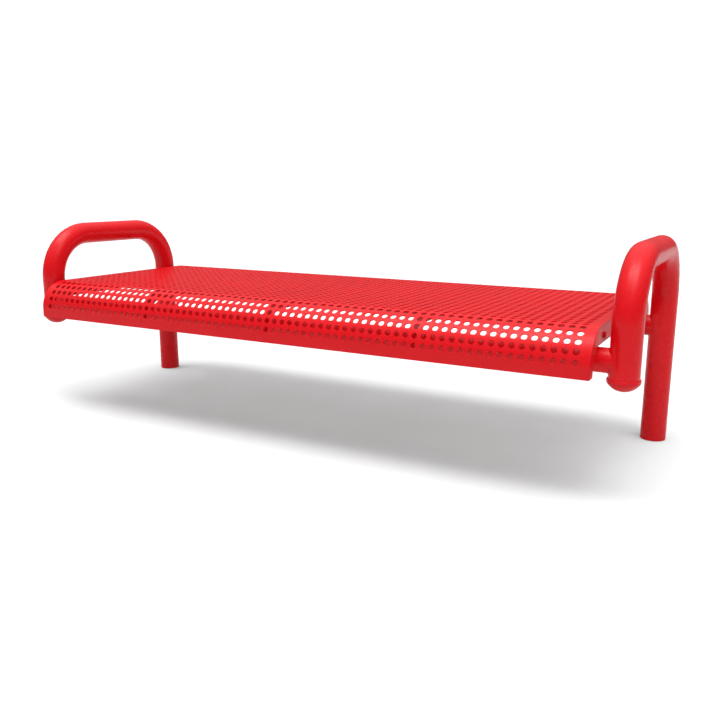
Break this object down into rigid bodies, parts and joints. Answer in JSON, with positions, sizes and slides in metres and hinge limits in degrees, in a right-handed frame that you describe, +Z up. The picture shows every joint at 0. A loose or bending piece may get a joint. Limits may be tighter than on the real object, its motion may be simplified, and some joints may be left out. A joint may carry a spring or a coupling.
{
  "type": "backless bench",
  "caption": "Backless perforated-metal bench with rolled front and rear edges, carried by cross tubes between two bent tube end frames with arm loops.",
  "frame": {"origin": "on the ground under the middle of the seat: middle of the bench's length and of its depth, at the bottom of the rear legs", "axes": "+X along the seat, -Y towards the front where the short stubs are, +Y towards the legs, +Z up"},
  "size_m": [2.016, 0.762, 0.6149],
  "materials": {
    "seat_coat": "satin-gloss red powder coat on perforated sheet",
    "plate_coat": "satin-gloss red powder coat on plate",
    "tube_coat": "satin-gloss red powder coat on steel tube",
    "cap_coat": "red coat on a pressed cap",
    "fastener_coat": "red coat over steel fasteners"
  },
  "bodies": {
    "root": {"bolt_front_left": "fastener_coat", "bolt_front_right": "fastener_coat", "bolt_rear_left": "fastener_coat", "bolt_rear_right": "fastener_coat", "end_cap_left": "cap_coat", "end_cap_right": "cap_coat", "end_frame_left": "tube_coat", "end_frame_right": "tube_coat", "end_plate_left": "plate_coat", "end_plate_right": "plate_coat", "front_cross_tube": "tube_coat", "mount_bar_left": "plate_coat", "mount_bar_right": "plate_coat", "nut_front_left": "fastener_coat", "nut_front_right": "fastener_coat", "nut_rear_left": "fastener_coat", "nut_rear_right": "fastener_coat", "rear_cross_tube": "tube_coat", "rib_left": "plate_coat", "rib_middle": "plate_coat", "rib_right": "plate_coat", "seat_deck": "seat_coat"}
  },
  "joints": []
}
